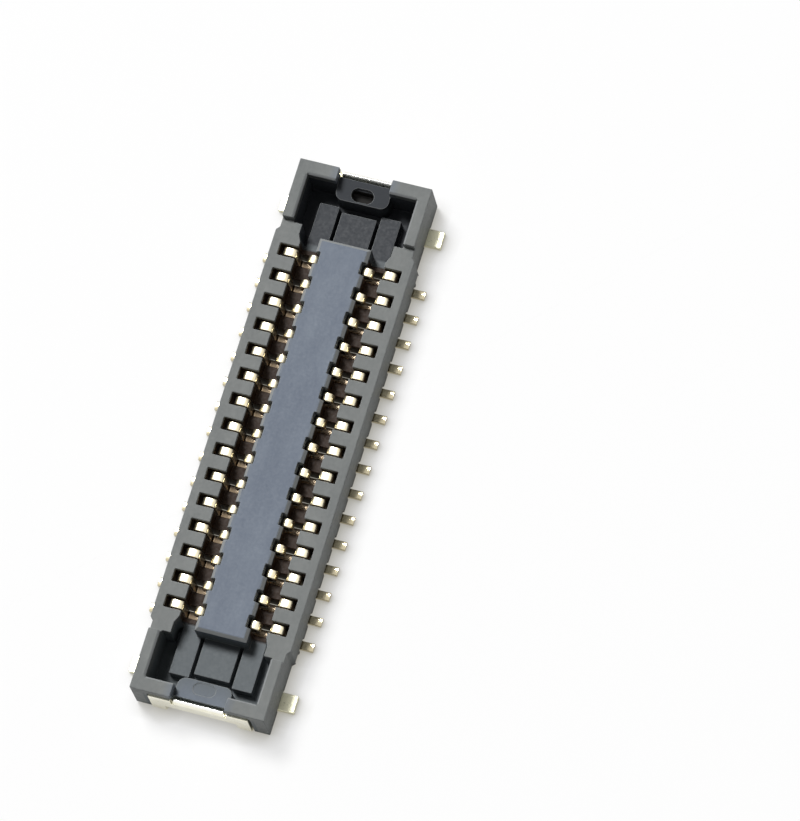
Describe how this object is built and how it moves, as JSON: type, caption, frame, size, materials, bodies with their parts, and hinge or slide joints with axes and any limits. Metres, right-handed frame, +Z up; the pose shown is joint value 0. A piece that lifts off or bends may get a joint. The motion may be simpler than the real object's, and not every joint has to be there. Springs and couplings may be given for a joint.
{
  "type": "board to board connector",
  "caption": "Low-profile board to board connector: rows of formed spring contacts in a slotted moulded housing, with a formed metal hold-down at each end.",
  "frame": {"origin": "middle of the board face, under the centre of the connector", "axes": "+X across the contact rows, +Y along the rows, +Z up from the board to the mating side"},
  "size_m": [0.0026, 0.0084, 0.0007],
  "materials": {
    "housing": "fine matt",
    "contacts": "gold plated",
    "hold_downs": "satin plated"
  },
  "bodies": {
    "root": {"housing": "housing", "hold_down_front": "hold_downs", "hold_down_rear": "hold_downs", "contact_left_1": "contacts", "contact_left_2": "contacts", "contact_left_3": "contacts", "contact_left_4": "contacts", "contact_left_5": "contacts", "contact_left_6": "contacts", "contact_left_7": "contacts", "contact_left_8": "contacts", "contact_left_9": "contacts", "contact_left_10": "contacts", "contact_left_11": "contacts", "contact_left_12": "contacts", "contact_left_13": "contacts", "contact_left_14": "contacts", "contact_left_15": "contacts", "contact_right_1": "contacts", "contact_right_2": "contacts", "contact_right_3": "contacts", "contact_right_4": "contacts", "contact_right_5": "contacts", "contact_right_6": "contacts", "contact_right_7": "contacts", "contact_right_8": "contacts", "contact_right_9": "contacts", "contact_right_10": "contacts", "contact_right_11": "contacts", "contact_right_12": "contacts", "contact_right_13": "contacts", "contact_right_14": "contacts", "contact_right_15": "contacts"}
  },
  "joints": []
}
